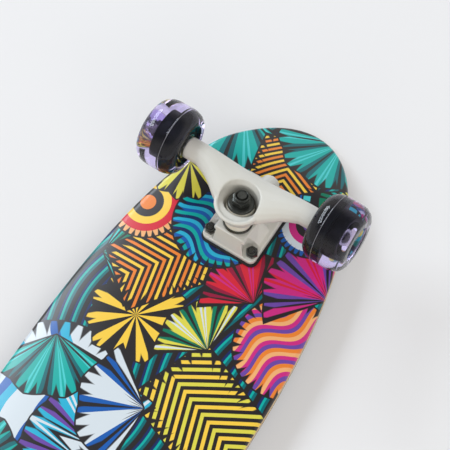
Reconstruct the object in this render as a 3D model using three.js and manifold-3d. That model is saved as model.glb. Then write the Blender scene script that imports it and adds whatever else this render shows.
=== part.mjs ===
// Cruiser skateboard in millimetres, +Z up, lying deck down with its wheels in the air.
// The origin is on the floor under the middle of the board, and +X points to the nose.
import * as THREE from 'three';
import * as BufferGeometryUtils from 'three/addons/utils/BufferGeometryUtils.js';
import Module from 'manifold-3d';

const wasm = await Module();
wasm.setup();

// Clearances between pieces.
const fit = 0.3;
const overlapForCuts = 5;

// Deck outline: widest at the middle of the wheelbase, each end a superellipse.
const deckLength = 692;
const deckWidth = 208;
const noseOverhang = 107;
const noseLengthPower = 2.6;
const noseWidthPower = 2;
const tailLengthPower = 2.4;
const tailWidthPower = 3.6;
const outlineStepsPerQuarter = 12;
const outlineNearZero = 1e-9;

// Deck section: seven plies with rounded edges, dished across and kicked up at both ends.
const deckThickness = 11;
const edgeRadius = 3.4;
const edgeRoundingSteps = 2;
const gripThickness = 0.8;
const gripInset = 0.6;
const dishDepth = 6;
const dishFlatHalfWidth = 30;
const flatHeight = 39;
const noseKickRun = 69;
const noseKickRadius = 60;
const tailKickRun = 119;
const tailKickRadius = 120;
const crossShares = [1, 0.76, 0.52, 0.28, 0];
const kickAngleHalvings = 40;

// Bolt pattern and wheelbase.
const boltSpacingLong = 53.5;
const boltSpacingWide = 41.3;
const innerBoltWheelbase = 355.6;

// Riser pad and baseplate.
const riserThickness = 2.7;
const riserOverlap = 1.6;
const plateInnerReach = 35;
const plateOuterReach = 35.6;
const plateWidth = 52;
const plateThickness = 5.4;
const plateCornerRadius = 5;
const plateBevel = 0.8;
const saddleRise = 3;
const boltHoleRadius = 2.75;
const pocketRadius = 8.2;
const towerHalfWidth = 13.6;
const towerFootHalfWidth = 23;
const housingRadius = 9;
const housingOuterEnd = -6;
const housingMouth = 7.6;

// Kingpin, bushings and cup washers, measured along the kingpin from the hanger's ring.
const kingpinLean = THREE.MathUtils.degToRad(17);
const ringCentre = new THREE.Vector3(-10.4, 0, 40.75);
const ringHalfThickness = 2.4;
const ringHoleRadius = 7.6;
const kingpinRadius = 4.76;
const kingpinTip = 22.5;
const kingpinHeadAcross = 14.3;
const kingpinHeadHeight = 6;
const kingpinChamfer = 0.8;
const headRecessRadius = 9.6;
const seatThickness = 12;
const lowerBushingHeight = 11.2;
const lowerBushingRadius = 11.4;
const upperBushingHeight = 9;
const upperBushingFootRadius = 11.6;
const upperBushingTopRadius = 9;
const bushingShoulder = 1;
const cupWasherThickness = 1.5;
const cupWasherRim = 1.5;
const cupWasherWall = 1;
const lowerWasherRadius = 12.7;
const upperWasherRadius = 11.5;
const kingpinNutAcross = 14.3;
const kingpinNutHeight = 8;

// Pivot: the hanger's nose turns in a cup, on the line from the cup to the ring.
const pivotCentre = new THREE.Vector3(28.5, 0, 14);
const pivotTipRadius = 4.8;
const pivotCupWall = 1.9;
const pivotCupDepth = 5;
const noseRootRadius = 11;
const noseRootReach = 31;
const noseSwellShares = [
  { along: 0.355, radius: 0.6 }, { along: 0.55, radius: 0.8 }, { along: 0.775, radius: 0.965 },
];

// Axle and hanger beam: a tube at each end that swells and drops towards the middle.
const axleX = 10.7;
const axleHeight = 56.5;
const axleRadius = 3.95;
const axleHalfLength = 96.5;
const axleChamfer = 0.8;
const hangerHalfLength = 63.4;
const hangerEndRadius = 9.7;
const hangerBackX = 20.4;
const hangerEndChamfer = 0.9;
const beamFlankX = -19.5;
const beamMiddleHeight = 51.2;
const beamMiddleHalfHeight = 13.6;
const beamSwellShares = [
  { out: 0.79, flank: 0, drop: 0 },
  { out: 0.68, flank: 0.13, drop: 0.085 },
  { out: 0.57, flank: 0.29, drop: 0.215 },
  { out: 0.46, flank: 0.535, drop: 0.4 },
  { out: 0.35, flank: 0.8, drop: 0.63 },
  { out: 0.22, flank: 0.975, drop: 0.89 },
  { out: 0.08, flank: 1, drop: 1 },
];

// Hanger's boss and the funnel in it, with a rounded rim at the funnel's mouth.
const rimHeight = 57.2;
const rimMiddleX = -10;
const rimRadiusAlong = 17.5;
const rimRadiusAcross = 19;
const rimRoundness = 1.9;
const bossFootRadius = 15.4;
const bossMiddleRadius = 19.2;
const bushingRoomGap = 2.4;
const funnelFootGap = 1;
const funnelWasherGapAlong = 1.4;
const funnelWasherGapAcross = 3.5;
const funnelWasherShift = -0.4;

// The mouth's rings above the rim. Rise and along are shares of the rim's radius along the truck, and across
// is a share of its radius across it.
const mouthSwellShares = [
  { rise: 0.109, along: 0.897, across: 0.9 },
  { rise: 0.286, along: 1.046, across: 0.905 },
  { rise: 0.4, along: 1.115, across: 0.925 },
  { rise: 0.92, along: 1.15, across: 0.975 },
];

// Axle nuts, and the collar that every lock nut has.
const axleNutAcross = 12.7;
const axleNutWidth = 6.2;
const nutCollarShare = 0.3;
const nutCollarRadiusShare = 0.88;

// Wheel: clear tyre cast round a stepped core, two ball bearings in the core.
const wheelRadius = 29.8;
const wheelWidth = 37.6;
const wheelCentreY = 81.25;
const coreOffset = 5;
const bearingRadius = 11;
const bearingWidth = 7;
const bearingGap = 10;
const coreRadius = 19.2;
const coreStepRadius = 14;
const coreStepReach = 2.7;
const coreBoreRadius = 9;
const innerRecessMouthRadius = 19;
const innerRecessFootRadius = 12.7;
const outerRecessMouthRadius = 15;
const outerRecessFootRadius = 11.5;
const treadHalfWidth = 5;
const shoulderSteps = 4;
const sideFlatRadius = 19.8;

// Deck bolts and their nuts.
const boltRadius = 2.4;
const boltHeadRadius = 4.7;
const boltHeadHeight = 2.8;
const boltStickOut = 16.6;
const deckNutAcross = 9.5;
const deckNutHeight = 6;

// How finely round shapes are cut into facets.
const wheelFacets = 22;
const funnelFacets = 20;
const roundFacets = 16;
const smallFacets = 12;
const rimFacets = 8;
const hexagonSides = 6;
const plateCornerSteps = 4;
const weldDistance = 1e-5;

// Colours and finishes.
const colours = {
  wood: { color: 0xd9c3a0, roughness: 0.45, metalness: 0 },
  grip: { color: 0x1b1b1c, roughness: 0.95, metalness: 0 },
  rubber: { color: 0x17171a, roughness: 0.8, metalness: 0 },
  casting: { color: 0xe9e7e2, roughness: 0.42, metalness: 0 },
  blackSteel: { color: 0x26282b, roughness: 0.35, metalness: 0.8 },
  steel: { color: 0xb9bcc0, roughness: 0.28, metalness: 1 },
  cream: { color: 0xe4ddca, roughness: 0.5, metalness: 0 },
  clearLilac: { color: 0xb9a9e0, roughness: 0.12, metalness: 0 },
  core: { color: 0x1d2126, roughness: 0.4, metalness: 0 },
};

// Values worked out from the sizes above.
const noseTip = deckLength / 2;
const tailTip = -deckLength / 2;
const truckSpacing = innerBoltWheelbase + boltSpacingLong;
const frontTruckX = noseTip - noseOverhang;
const rearTruckX = frontTruckX - truckSpacing;
const widestX = (frontTruckX + rearTruckX) / 2;
const kingpinWay = new THREE.Vector3(Math.sin(kingpinLean), 0, Math.cos(kingpinLean));
const pivotWay = ringCentre.clone().sub(pivotCentre).normalize();
const plateFloor = riserThickness + 2 * fit;
const pocketFloor = plateFloor + plateThickness;
const lowerBushingTop = -ringHalfThickness - fit;
const lowerBushingFoot = lowerBushingTop - lowerBushingHeight;
const seatHeight = lowerBushingFoot - 2 * fit - cupWasherThickness;
const kingpinHeadTop = seatHeight - seatThickness - fit;
const upperBushingFoot = ringHalfThickness + fit;
const upperBushingTop = upperBushingFoot + upperBushingHeight;
const upperWasherFoot = upperBushingTop + fit;
const kingpinNutFoot = upperWasherFoot + cupWasherThickness + fit;
const coreMiddle = wheelCentreY - coreOffset;
const coreHalfWidth = bearingWidth + bearingGap / 2;
const boltPlaces = [1, -1].flatMap((alongSign) => [1, -1].map((acrossSign) => ({
  x: alongSign * boltSpacingLong / 2,
  y: acrossSign * boltSpacingWide / 2,
  name: `${alongSign > 0 ? 'outer' : 'inner'}_${acrossSign > 0 ? 'left' : 'right'}`,
})));

// Solids for joining and cutting.
function toSolid(geometry) {
  const bare = geometry.clone();
  bare.deleteAttribute('normal');
  bare.deleteAttribute('uv');
  const merged = BufferGeometryUtils.mergeVertices(bare, weldDistance);
  const corners = dropThinTriangles(Array.from(merged.index.array));
  return new wasm.Manifold(new wasm.Mesh({
    numProp: 3,
    vertProperties: new Float32Array(merged.attributes.position.array),
    triVerts: new Uint32Array(corners),
  }));
}

function dropThinTriangles(corners) {
  const kept = [];
  for (let i = 0; i < corners.length; i += 3) {
    const [a, b, c] = corners.slice(i, i + 3);
    if (a !== b && b !== c && c !== a) kept.push(a, b, c);
  }
  return kept;
}

function toGeometry(solid) {
  const mesh = solid.getMesh();
  const geometry = new THREE.BufferGeometry();
  geometry.setAttribute('position', new THREE.BufferAttribute(Float32Array.from(mesh.vertProperties), 3));
  geometry.setIndex(Array.from(mesh.triVerts));
  geometry.computeVertexNormals();
  return geometry;
}

function join(...solids) {
  return solids.reduce((whole, solid) => whole.add(solid));
}

function cut(whole, ...tools) {
  return tools.reduce((left, tool) => left.subtract(tool), whole);
}

// A ring-shaped or solid turned piece: profile points are [radius, distance along the way].
function turned(profile, origin, way, facets = roundFacets) {
  const points = profile.map(([radius, along]) => new THREE.Vector2(radius, along));
  const geometry = new THREE.LatheGeometry(points, facets);
  const turn = new THREE.Quaternion().setFromUnitVectors(new THREE.Vector3(0, 1, 0), way);
  geometry.applyQuaternion(turn);
  geometry.translate(origin.x, origin.y, origin.z);
  return toSolid(geometry);
}

function rod(radius, from, to, origin, way, facets = roundFacets) {
  return turned([[0, from], [radius, from], [radius, to], [0, to]], origin, way, facets);
}

function tube(innerRadius, outerRadius, from, to, origin, way, facets = roundFacets) {
  const profile = [
    [innerRadius, from], [outerRadius, from], [outerRadius, to], [innerRadius, to], [innerRadius, from],
  ];
  return turned(profile, origin, way, facets);
}

// A lock nut: a hexagon with a round collar on its far end, and a bore.
function lockNut(acrossFlats, height, boreRadius, foot, origin, way) {
  const cornerRadius = acrossFlats / Math.sqrt(3);
  const top = foot + height;
  const hexagonTop = top - height * nutCollarShare;
  const hexagon = rod(cornerRadius, foot, hexagonTop, origin, way, hexagonSides);
  const collar = rod(acrossFlats / 2 * nutCollarRadiusShare, foot, top, origin, way, smallFacets);
  const bore = rod(boreRadius, foot - overlapForCuts, top + overlapForCuts, origin, way, smallFacets);
  return cut(join(hexagon, collar), bore);
}

// A solid through a row of closed rings with the same number of points.
function loft(rings) {
  const count = rings[0].length;
  const positions = rings.flat().flatMap((point) => [point.x, point.y, point.z]);
  const corners = [];
  for (let ring = 0; ring < rings.length - 1; ring++) {
    for (let i = 0; i < count; i++) {
      const next = (i + 1) % count;
      const [a, b] = [ring * count + i, ring * count + next];
      const [c, d] = [a + count, b + count];
      corners.push(a, b, d, a, d, c);
    }
  }
  const lastRing = (rings.length - 1) * count;
  for (let i = 1; i < count - 1; i++) {
    corners.push(0, i + 1, i);
    corners.push(lastRing, lastRing + i, lastRing + i + 1);
  }
  const geometry = new THREE.BufferGeometry();
  geometry.setAttribute('position', new THREE.BufferAttribute(new Float32Array(positions), 3));
  geometry.setIndex(corners);
  const solid = toSolid(geometry);
  if (solid.volume() > 0) return solid;
  geometry.setIndex(corners.toReversed());
  return toSolid(geometry);
}

// Deck shape.
function kickAngle(run, radius) {
  // The angle at which the grip tape at the tip just touches the floor.
  const stack = deckThickness + fit + gripThickness;
  let [low, high] = [0, Math.PI / 4];
  for (let halving = 0; halving < kickAngleHalvings; halving++) {
    const angle = (low + high) / 2;
    const drop = radius * (1 - Math.cos(angle)) + (run - radius * Math.sin(angle)) * Math.tan(angle);
    if (drop + stack * Math.cos(angle) > flatHeight) high = angle;
    else low = angle;
  }
  return low;
}

const kicks = [
  { sign: 1, tip: noseTip, run: noseKickRun, radius: noseKickRadius },
  { sign: -1, tip: -tailTip, run: tailKickRun, radius: tailKickRadius },
].map(({ sign, tip, run, radius }) => ({ sign, start: tip - run, radius, angle: kickAngle(run, radius) }));

function kickAt(x) {
  const kick = kicks[x > 0 ? 0 : 1];
  const past = Math.max(0, Math.abs(x) - kick.start);
  const arcReach = kick.radius * Math.sin(kick.angle);
  if (past < arcReach) {
    const slope = Math.asin(past / kick.radius);
    return { drop: kick.radius * (1 - Math.cos(slope)), slope, sign: kick.sign };
  }
  const arcDrop = kick.radius * (1 - Math.cos(kick.angle));
  return { drop: arcDrop + (past - arcReach) * Math.tan(kick.angle), slope: kick.angle, sign: kick.sign };
}

function dishDrop(y) {
  const share = Math.max(0, Math.abs(y) - dishFlatHalfWidth) / (deckWidth / 2 - dishFlatHalfWidth);
  return dishDepth * share ** 2;
}

function deckPoint(x, y, depth) {
  const { drop, slope, sign } = kickAt(x);
  const sideways = sign * Math.sin(slope) * depth;
  return new THREE.Vector3(x - sideways, y, flatHeight - drop - dishDrop(y) - depth * Math.cos(slope));
}

function outlineShare(wave, power) {
  return Math.abs(wave) < outlineNearZero ? 0 : Math.abs(wave) ** (2 / power);
}

function deckOutline() {
  const ends = [
    { sign: 1, span: noseTip - widestX, lengthPower: noseLengthPower, widthPower: noseWidthPower },
    { sign: -1, span: widestX - tailTip, lengthPower: tailLengthPower, widthPower: tailWidthPower },
  ];
  const points = [];
  const count = 4 * outlineStepsPerQuarter;
  for (let i = 0; i < count; i++) {
    const angle = i * 2 * Math.PI / count;
    const [lengthWave, widthWave] = [Math.cos(angle), Math.sin(angle)];
    const end = ends[lengthWave >= 0 ? 0 : 1];
    points.push(new THREE.Vector2(
      widestX + end.sign * end.span * outlineShare(lengthWave, end.lengthPower),
      Math.sign(widthWave) * deckWidth / 2 * outlineShare(widthWave, end.widthPower),
    ));
  }
  return points;
}

function insetOutline(outline, inset) {
  return outline.map((point, i) => {
    const before = outline[(i + outline.length - 1) % outline.length];
    const after = outline[(i + 1) % outline.length];
    const along = after.clone().sub(before).normalize();
    return new THREE.Vector2(point.x - along.y * inset, point.y + along.x * inset);
  });
}

// A sheet of the deck's shape between two depths, with its edge rounded by the given radius.
function deckSheet(topDepth, bottomDepth, inset, rounding) {
  const outline = insetOutline(deckOutline(), inset);
  const edge = [];
  for (let step = 0; step <= edgeRoundingSteps; step++) {
    const turn = step / edgeRoundingSteps * Math.PI / 2;
    edge.push({ inset: rounding * (1 - Math.sin(turn)), depth: topDepth + rounding * (1 - Math.cos(turn)) });
  }
  const lowerEdge = edge.toReversed().map(({ inset: edgeInset, depth }) => (
    { inset: edgeInset, depth: topDepth + bottomDepth - depth }));
  const sides = rounding > 0 ? [...edge, ...lowerEdge] : [edge[0], lowerEdge[0]];
  const faceRings = (side, shares) => shares.map((share) => insetOutline(outline, side.inset)
    .map((point) => deckPoint(point.x, point.y * share, side.depth)));
  const rings = [
    ...faceRings(sides[0], crossShares.toReversed()),
    ...sides.slice(1, -1).map((side) => faceRings(side, [1])[0]),
    ...faceRings(sides.at(-1), crossShares),
  ];
  return ringsToSolid(rings);
}

// Joins rings whose first and last are folded flat onto the middle line.
function ringsToSolid(rings) {
  const count = rings[0].length;
  const fold = (i) => (i <= count / 2 ? i : count - i);
  const seam = (ring, i) => (ring === 0 || ring === rings.length - 1 ? fold(i) : i);
  const corners = [];
  for (let ring = 0; ring < rings.length - 1; ring++) {
    for (let i = 0; i < count; i++) {
      const next = (i + 1) % count;
      const [a, b] = [ring * count + seam(ring, i), ring * count + seam(ring, next)];
      const [c, d] = [(ring + 1) * count + seam(ring + 1, i), (ring + 1) * count + seam(ring + 1, next)];
      corners.push(a, c, d, a, d, b);
    }
  }
  const positions = rings.flat().flatMap((point) => [point.x, point.y, point.z]);
  const geometry = new THREE.BufferGeometry();
  geometry.setAttribute('position', new THREE.BufferAttribute(new Float32Array(positions), 3));
  geometry.setIndex(corners);
  return toSolid(geometry);
}

const up = new THREE.Vector3(0, 0, 1);
const across = new THREE.Vector3(0, 1, 0);

function boltColumns(makeTool) {
  return [frontTruckX, rearTruckX].flatMap((truckX) => boltPlaces.map(({ x, y }) => (
    makeTool(new THREE.Vector3(truckX + x, y, flatHeight)))));
}

function boltProfile(extra) {
  const headFoot = -deckThickness - extra;
  const neck = -deckThickness + boltHeadHeight + extra;
  const shank = boltRadius + extra;
  return [
    [0, headFoot], [boltHeadRadius + extra, headFoot], [boltHeadRadius + extra, -deckThickness + extra],
    [shank, neck], [shank, boltStickOut], [0, boltStickOut],
  ];
}

function makeDeck() {
  const board = deckSheet(0, deckThickness, 0, edgeRadius);
  return cut(board, ...boltColumns((place) => turned(boltProfile(fit), place, up, smallFacets)));
}

function makeGripTape() {
  const top = deckThickness + fit;
  const sheet = deckSheet(top, top + gripThickness, gripInset, 0);
  const holeRadius = boltHeadRadius + 2 * fit;
  const reach = top + gripThickness + overlapForCuts;
  return cut(sheet, ...boltColumns((place) => rod(holeRadius, -reach, 0, place, up, smallFacets)));
}

// Truck pieces, in the truck's own frame: the origin is the middle of the bolt pattern on the
// deck's underside, +X points to the end of the board and +Z away from the deck.
function roundedPlate(extra, thickness, bevel) {
  const [left, right] = [-plateInnerReach - extra, plateOuterReach + extra];
  const halfWidth = plateWidth / 2 + extra;
  const radius = plateCornerRadius;
  const shape = new THREE.Shape();
  shape.absarc(right - radius, halfWidth - radius, radius, 0, Math.PI / 2);
  shape.absarc(left + radius, halfWidth - radius, radius, Math.PI / 2, Math.PI);
  shape.absarc(left + radius, -halfWidth + radius, radius, Math.PI, 1.5 * Math.PI);
  shape.absarc(right - radius, -halfWidth + radius, radius, 1.5 * Math.PI, 2 * Math.PI);
  return new THREE.ExtrudeGeometry(shape, {
    depth: thickness - bevel,
    curveSegments: plateCornerSteps,
    bevelEnabled: bevel > 0,
    bevelThickness: bevel,
    bevelSize: bevel,
    bevelOffset: -bevel,
    bevelSegments: 1,
  });
}

function boltHoles(bottom, top) {
  return boltPlaces.map(({ x, y }) => (
    rod(boltHoleRadius, bottom, top, new THREE.Vector3(x, y, 0), up, smallFacets)));
}

function makeRiser() {
  const pad = roundedPlate(riserOverlap, riserThickness, 0);
  pad.translate(0, 0, fit);
  return cut(toSolid(pad), ...boltHoles(-overlapForCuts, plateFloor + overlapForCuts));
}

function kingpinPoint(along, aside) {
  const asideWay = new THREE.Vector3(Math.cos(kingpinLean), 0, -Math.sin(kingpinLean));
  return ringCentre.clone().addScaledVector(kingpinWay, along).addScaledVector(asideWay, aside);
}

function makeTower() {
  const sink = pocketFloor - 2 * plateBevel;
  const heelX = plateInnerReach - plateBevel;
  const toeX = plateOuterReach - 2 * plateBevel;
  const saddleHeight = pocketFloor + saddleRise;
  const seatEdges = [-towerHalfWidth, towerHalfWidth].map((aside) => kingpinPoint(seatHeight, aside));
  const side = [
    [-heelX, sink], [-heelX, pocketFloor],
    ...seatEdges.map(({ x, z }) => [x, z]),
    [ringCentre.x + 2 * pocketRadius, saddleHeight], [pivotCentre.x, saddleHeight],
    [toeX, pocketFloor], [toeX, sink],
  ];
  const footHeight = pocketFloor - plateBevel;
  const crest = (y) => side.map(([x, height]) => new THREE.Vector3(x, y, height));
  const foot = (y) => crest(y).map(({ x, z }) => new THREE.Vector3(x, y, Math.min(z, footHeight)));
  return loft([
    foot(-towerFootHalfWidth), crest(-towerHalfWidth), crest(towerHalfWidth), foot(towerFootHalfWidth),
  ]);
}

function makeBaseplate() {
  const flat = roundedPlate(0, plateThickness, plateBevel);
  flat.translate(0, 0, plateFloor + plateBevel);
  const housing = rod(housingRadius, housingOuterEnd, housingMouth, pivotCentre, pivotWay);
  const body = join(toSolid(flat), makeTower(), housing);
  const below = new THREE.BoxGeometry(4 * plateOuterReach, 4 * plateWidth, 2 * plateFloor);
  const pocketTop = pocketFloor + 2 * pocketRadius;
  const pockets = boltPlaces.map(({ x, y }) => (
    rod(pocketRadius, pocketFloor, pocketTop, new THREE.Vector3(x, y, 0), up)));
  const boreFoot = kingpinHeadTop - overlapForCuts;
  const boreTop = seatHeight + overlapForCuts;
  const kingpinBore = rod(kingpinRadius + fit, boreFoot, boreTop, ringCentre, kingpinWay);
  const headRecess = rod(
    headRecessRadius, kingpinHeadTop - 4 * kingpinHeadHeight, kingpinHeadTop + fit, ringCentre, kingpinWay);
  const cupBore = rod(
    pivotTipRadius + pivotCupWall + 2 * fit, -pivotCupDepth - fit, 4 * housingMouth, pivotCentre, pivotWay);
  const holes = boltHoles(0, pocketFloor + overlapForCuts);
  return cut(body, toSolid(below), kingpinBore, headRecess, cupBore, ...pockets, ...holes);
}

function makeKingpin() {
  const cornerRadius = kingpinHeadAcross / Math.sqrt(3);
  const headFoot = kingpinHeadTop - kingpinHeadHeight;
  const head = rod(cornerRadius, headFoot, kingpinHeadTop, ringCentre, kingpinWay, hexagonSides);
  const shaftFoot = (headFoot + kingpinHeadTop) / 2;
  const shaft = turned([
    [0, shaftFoot], [kingpinRadius, shaftFoot], [kingpinRadius, kingpinTip - kingpinChamfer],
    [kingpinRadius - kingpinChamfer, kingpinTip], [0, kingpinTip],
  ], ringCentre, kingpinWay);
  return join(head, shaft);
}

function makeLowerBushing() {
  const bore = kingpinRadius + fit;
  const endRadius = lowerBushingRadius - bushingShoulder;
  return turned([
    [bore, lowerBushingFoot], [endRadius, lowerBushingFoot],
    [lowerBushingRadius, lowerBushingFoot + bushingShoulder],
    [lowerBushingRadius, lowerBushingTop - bushingShoulder],
    [endRadius, lowerBushingTop], [bore, lowerBushingTop], [bore, lowerBushingFoot],
  ], ringCentre, kingpinWay);
}

function makeUpperBushing() {
  const bore = kingpinRadius + fit;
  return turned([
    [bore, upperBushingFoot], [upperBushingFootRadius, upperBushingFoot],
    [upperBushingFootRadius, upperBushingFoot + bushingShoulder], [upperBushingTopRadius, upperBushingTop],
    [bore, upperBushingTop], [bore, upperBushingFoot],
  ], ringCentre, kingpinWay);
}

// A cup washer: a disc whose rim turns over the bushing by the rim height, up or down.
function cupWasher(radius, foot, rimSign) {
  const bore = kingpinRadius + fit;
  const top = foot + cupWasherThickness;
  const rimInner = radius - cupWasherWall;
  const profile = rimSign > 0
    ? [[bore, foot], [rimInner, foot], [radius, foot + cupWasherWall], [radius, top + cupWasherRim],
      [rimInner, top + cupWasherRim], [rimInner, top], [bore, top], [bore, foot]]
    : [[bore, foot], [rimInner, foot], [rimInner, foot - cupWasherRim], [radius, foot - cupWasherRim],
      [radius, top - cupWasherWall], [rimInner, top], [bore, top], [bore, foot]];
  return turned(profile, ringCentre, kingpinWay);
}

function makePivotCup() {
  const inner = pivotTipRadius + fit;
  return tube(inner, inner + pivotCupWall, -pivotCupDepth, housingMouth, pivotCentre, pivotWay);
}

// The hanger: a cast beam with a straight back that swells round a funnel for the bushings,
// and a nose that reaches down to the pivot cup.
function beamRing(y, backX, flankX, middleHeight, halfHeight) {
  const middleX = (backX + flankX) / 2;
  const halfDepth = (backX - flankX) / 2;
  return Array.from({ length: roundFacets }, (_, i) => {
    const angle = i * 2 * Math.PI / roundFacets;
    const x = middleX + halfDepth * Math.cos(angle);
    return new THREE.Vector3(x, y, middleHeight + halfHeight * Math.sin(angle));
  });
}

function makeBeam() {
  const { lerp } = THREE.MathUtils;
  const tubeFlankX = hangerBackX - 2 * hangerEndRadius;
  const tubeRing = (y, inset) => (
    beamRing(y, hangerBackX - inset, tubeFlankX + inset, axleHeight, hangerEndRadius - inset));
  const half = [
    tubeRing(hangerHalfLength, hangerEndChamfer),
    tubeRing(hangerHalfLength - hangerEndChamfer, 0),
    ...beamSwellShares.map(({ out, flank, drop }) => beamRing(
      hangerHalfLength * out,
      hangerBackX,
      lerp(tubeFlankX, beamFlankX, flank),
      lerp(axleHeight, beamMiddleHeight, drop),
      lerp(hangerEndRadius, beamMiddleHalfHeight, drop),
    )),
  ];
  const mirrored = half.toReversed().map((ring) => ring.map(({ x, y, z }) => new THREE.Vector3(x, -y, z)));
  return loft([...half, ...mirrored]);
}

function tiltedRing(centreX, centreHeight, tilt, radiusAlong, radiusAcross) {
  return Array.from({ length: funnelFacets }, (_, i) => {
    const angle = i * 2 * Math.PI / funnelFacets;
    const along = radiusAlong * Math.cos(angle);
    const y = radiusAcross * Math.sin(angle);
    return new THREE.Vector3(centreX + along * Math.cos(tilt), y, centreHeight - along * Math.sin(tilt));
  });
}

function makeFunnel() {
  const floor = kingpinPoint(ringHalfThickness, 0);
  const washer = kingpinPoint(upperWasherFoot - fit, 0);
  const floorRadius = upperBushingFootRadius + funnelFootGap;
  const washerAlong = upperWasherRadius + funnelWasherGapAlong;
  const washerAcross = upperWasherRadius + funnelWasherGapAcross;
  return loft([
    tiltedRing(floor.x, floor.z, kingpinLean, floorRadius, floorRadius),
    tiltedRing(washer.x + funnelWasherShift, washer.z, kingpinLean, washerAlong, washerAcross),
    tiltedRing(rimMiddleX, rimHeight, 0, rimRadiusAlong - rimRoundness, rimRadiusAcross - rimRoundness),
    ...mouthSwellShares.map(({ rise, along, across }) => tiltedRing(
      rimMiddleX, rimHeight + rise * rimRadiusAlong, 0, along * rimRadiusAlong, across * rimRadiusAcross)),
  ]);
}

function makeRim() {
  const torus = new THREE.TorusGeometry(1, rimRoundness / rimRadiusAlong, rimFacets, funnelFacets);
  torus.scale(rimRadiusAlong, rimRadiusAcross, rimRadiusAlong);
  torus.translate(rimMiddleX, 0, rimHeight);
  return toSolid(torus);
}

function makeBoss() {
  const foot = kingpinPoint(-ringHalfThickness, 0);
  const middle = kingpinPoint(2 * ringHalfThickness, 0);
  return loft([
    tiltedRing(foot.x, foot.z, kingpinLean, bossFootRadius, bossFootRadius),
    tiltedRing(middle.x, middle.z, kingpinLean, bossMiddleRadius, bossMiddleRadius),
    tiltedRing(rimMiddleX, rimHeight, 0, rimRadiusAlong + rimRoundness, rimRadiusAcross + rimRoundness),
  ]);
}

function makePivotNose() {
  const ball = [Math.PI / 2, Math.PI * 3 / 8, Math.PI / 4].map((angle) => (
    [pivotTipRadius * Math.cos(angle), -pivotTipRadius * Math.sin(angle)]));
  const swell = noseSwellShares.map(({ along, radius }) => [noseRootRadius * radius, noseRootReach * along]);
  return turned([
    ...ball, [pivotTipRadius, 0], [pivotTipRadius, housingMouth], ...swell,
    [noseRootRadius, noseRootReach], [0, noseRootReach],
  ], pivotCentre, pivotWay);
}

function makeHanger() {
  const body = join(makeBeam(), makeBoss(), makeRim(), makePivotNose());
  const roomRadius = lowerBushingRadius + bushingRoomGap;
  const roomFoot = seatHeight - overlapForCuts;
  const bushingRoom = rod(roomRadius, roomFoot, -ringHalfThickness, ringCentre, kingpinWay);
  const ringHole = rod(ringHoleRadius, -2 * ringHalfThickness, 2 * ringHalfThickness, ringCentre, kingpinWay);
  const axleMiddle = new THREE.Vector3(axleX, 0, axleHeight);
  const axleBore = rod(axleRadius + fit, -axleHalfLength, axleHalfLength, axleMiddle, across, smallFacets);
  return cut(body, makeFunnel(), bushingRoom, ringHole, axleBore);
}

function makeAxle() {
  const end = axleHalfLength;
  const tipRadius = axleRadius - axleChamfer;
  return turned([
    [0, -end], [tipRadius, -end], [axleRadius, -end + axleChamfer],
    [axleRadius, end - axleChamfer], [tipRadius, end], [0, end],
  ], new THREE.Vector3(axleX, 0, axleHeight), across, smallFacets);
}

// Wheel pieces, on the axle, on the side given by the sign.
function shoulderPoints() {
  const half = wheelWidth / 2;
  return Array.from({ length: shoulderSteps + 1 }, (_, step) => {
    const turn = step / shoulderSteps * Math.PI / 2;
    return [
      sideFlatRadius + (wheelRadius - sideFlatRadius) * Math.cos(turn),
      treadHalfWidth + (half - treadHalfWidth) * Math.sin(turn),
    ];
  });
}

function makeTyre(origin, way) {
  const outerShoulder = shoulderPoints();
  const innerShoulder = outerShoulder.toReversed().map(([radius, along]) => [radius, -along]);
  const half = wheelWidth / 2;
  const coreOuter = -coreOffset + coreHalfWidth + fit;
  const coreInner = -coreOffset - coreHalfWidth - fit;
  const stepAt = -coreOffset + coreStepReach + fit;
  return turned([
    [innerRecessMouthRadius, -half], ...innerShoulder, ...outerShoulder, [outerRecessMouthRadius, half],
    [outerRecessFootRadius, coreOuter], [coreStepRadius + fit, coreOuter], [coreStepRadius + fit, stepAt],
    [coreRadius + fit, stepAt], [coreRadius + fit, coreInner], [innerRecessFootRadius, coreInner],
    [innerRecessMouthRadius, -half],
  ], origin, way, wheelFacets);
}

function makeCore(origin, way) {
  const [inner, outer] = [-coreOffset - coreHalfWidth, -coreOffset + coreHalfWidth];
  const stepAt = -coreOffset + coreStepReach;
  const seat = bearingRadius + fit;
  return turned([
    [seat, inner], [coreRadius, inner], [coreRadius, stepAt], [coreStepRadius, stepAt],
    [coreStepRadius, outer], [seat, outer],
    [seat, outer - bearingWidth], [coreBoreRadius, outer - bearingWidth],
    [coreBoreRadius, inner + bearingWidth], [seat, inner + bearingWidth], [seat, inner],
  ], origin, way, wheelFacets);
}

function makeBearing(origin, way, sideSign) {
  const middle = -coreOffset + sideSign * (coreHalfWidth - bearingWidth / 2);
  const half = bearingWidth / 2 - fit;
  return tube(axleRadius + fit, bearingRadius, middle - half, middle + half, origin, way);
}

function makeAxleNut(way) {
  const foot = coreMiddle + coreHalfWidth;
  return lockNut(
    axleNutAcross, axleNutWidth, axleRadius + fit, foot, new THREE.Vector3(axleX, 0, axleHeight), way);
}

function makeDeckBolt() {
  return turned(boltProfile(0), new THREE.Vector3(), up, smallFacets);
}

function makeDeckNut() {
  return lockNut(deckNutAcross, deckNutHeight, boltRadius + fit, pocketFloor + fit, new THREE.Vector3(), up);
}

// Putting the board together.
const skateboard = new THREE.Group();

function addPiece(parent, name, solid, finish, place) {
  const mesh = new THREE.Mesh(toGeometry(solid), new THREE.MeshStandardMaterial(colours[finish]));
  mesh.name = name;
  if (place) mesh.position.copy(place);
  parent.add(mesh);
}

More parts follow.
